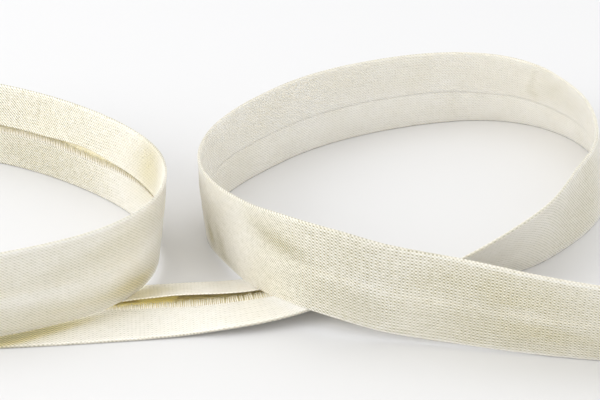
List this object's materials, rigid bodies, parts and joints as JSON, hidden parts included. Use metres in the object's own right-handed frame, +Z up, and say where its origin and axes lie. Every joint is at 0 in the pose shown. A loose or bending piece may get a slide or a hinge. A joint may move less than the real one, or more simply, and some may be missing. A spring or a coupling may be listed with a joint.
{
  "type": "folded bias tape",
  "caption": "Length of folded satin bias tape that stands on its edge in loose open loops, with the slit between its flaps on the inside.",
  "frame": {"origin": "bottom centre of the bounding box, on the surface that the tape rests on", "axes": "+X along the row of loops, towards the free end of the loop that lies open; +Y towards the back of the loops; +Z up"},
  "size_m": [0.2136, 0.1156, 0.026],
  "materials": {
    "satin": "ivory satin cut on the bias, soft sheen"
  },
  "bodies": {
    "root": {"tape": "satin"}
  },
  "joints": []
}
